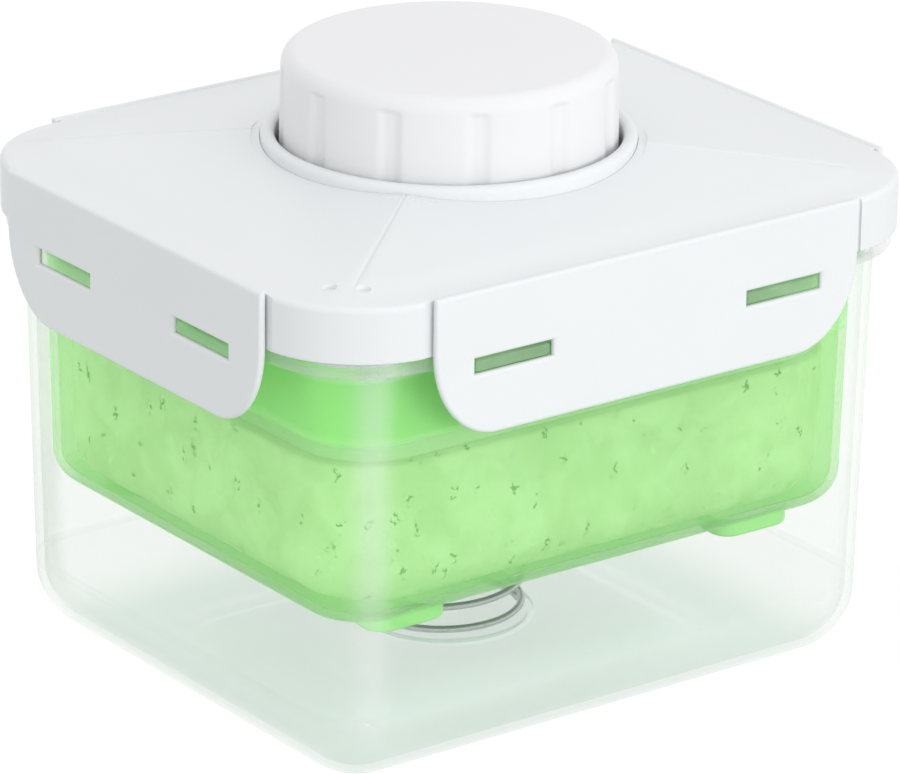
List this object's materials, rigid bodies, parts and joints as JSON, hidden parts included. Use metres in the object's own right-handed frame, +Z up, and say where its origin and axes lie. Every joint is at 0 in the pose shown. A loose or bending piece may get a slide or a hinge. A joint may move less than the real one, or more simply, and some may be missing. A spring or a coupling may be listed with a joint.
{
  "type": "cheese press",
  "caption": "Box press for fresh cheese: clear latched container, sprung green drain basket, and a lid whose screw knob drives a press plate down.",
  "frame": {"origin": "middle of the underside, on the surface that the container stands on", "axes": "+Z up along the screw, X along the long side, front flap facing -Y"},
  "size_m": [0.1424, 0.1236, 0.1182],
  "materials": {
    "clear": "clear moulded plastic, faintly frosted",
    "green": "translucent moulded plastic",
    "white": "satin moulded plastic",
    "knob_white": "soft gloss moulded plastic",
    "seal": "translucent silicone",
    "spring_steel": "drawn stainless wire"
  },
  "bodies": {
    "root": {"container": "clear", "lid": "white", "well_cup": "white", "lid_seal": "seal", "spring": "spring_steel"},
    "basket": {"basket": "green"},
    "plate": {"press_plate": "white", "swivel_collar": "white"},
    "knob": {"knob": "knob_white", "screw_stem": "white", "knob_screw": "spring_steel"},
    "flap_front": {"latch_flap_front": "white"},
    "flap_back": {"latch_flap_back": "white"},
    "flap_left": {"latch_flap_left": "white"},
    "flap_right": {"latch_flap_right": "white"}
  },
  "joints": [
    {"name": "plate_travel", "type": "slide", "parent": "root", "child": "plate", "axis": [0, 0, -1], "range_m": [0, 0.014]},
    {"name": "knob_turn", "type": "hinge", "parent": "plate", "child": "knob", "pos_m": [0, 0, 0.1], "axis": [0, 0, -1], "range_deg": [0, 1008]},
    {"name": "basket_travel", "type": "slide", "parent": "root", "child": "basket", "axis": [0, 0, -1], "range_m": [0, 0.014], "stiffness_N_per_m": 360, "springref_m": -0.015, "deforming": ["spring"]},
    {"name": "flap_front_hinge", "type": "hinge", "parent": "root", "child": "flap_front", "pos_m": [0, -0.0603, 0.0962], "axis": [-1, 0, 0], "range_deg": [0, 120]},
    {"name": "flap_back_hinge", "type": "hinge", "parent": "root", "child": "flap_back", "pos_m": [0, 0.0603, 0.0962], "axis": [1, 0, 0], "range_deg": [0, 120]},
    {"name": "flap_left_hinge", "type": "hinge", "parent": "root", "child": "flap_left", "pos_m": [-0.0697, 0, 0.0962], "axis": [0, 1, 0], "range_deg": [0, 120]},
    {"name": "flap_right_hinge", "type": "hinge", "parent": "root", "child": "flap_right", "pos_m": [0.0697, 0, 0.0962], "axis": [0, -1, 0], "range_deg": [0, 120]}
  ],
  "couplings": [
    {"joint": "knob_turn", "follows": "plate_travel", "rad_per_m": 1256.6}
  ]
}
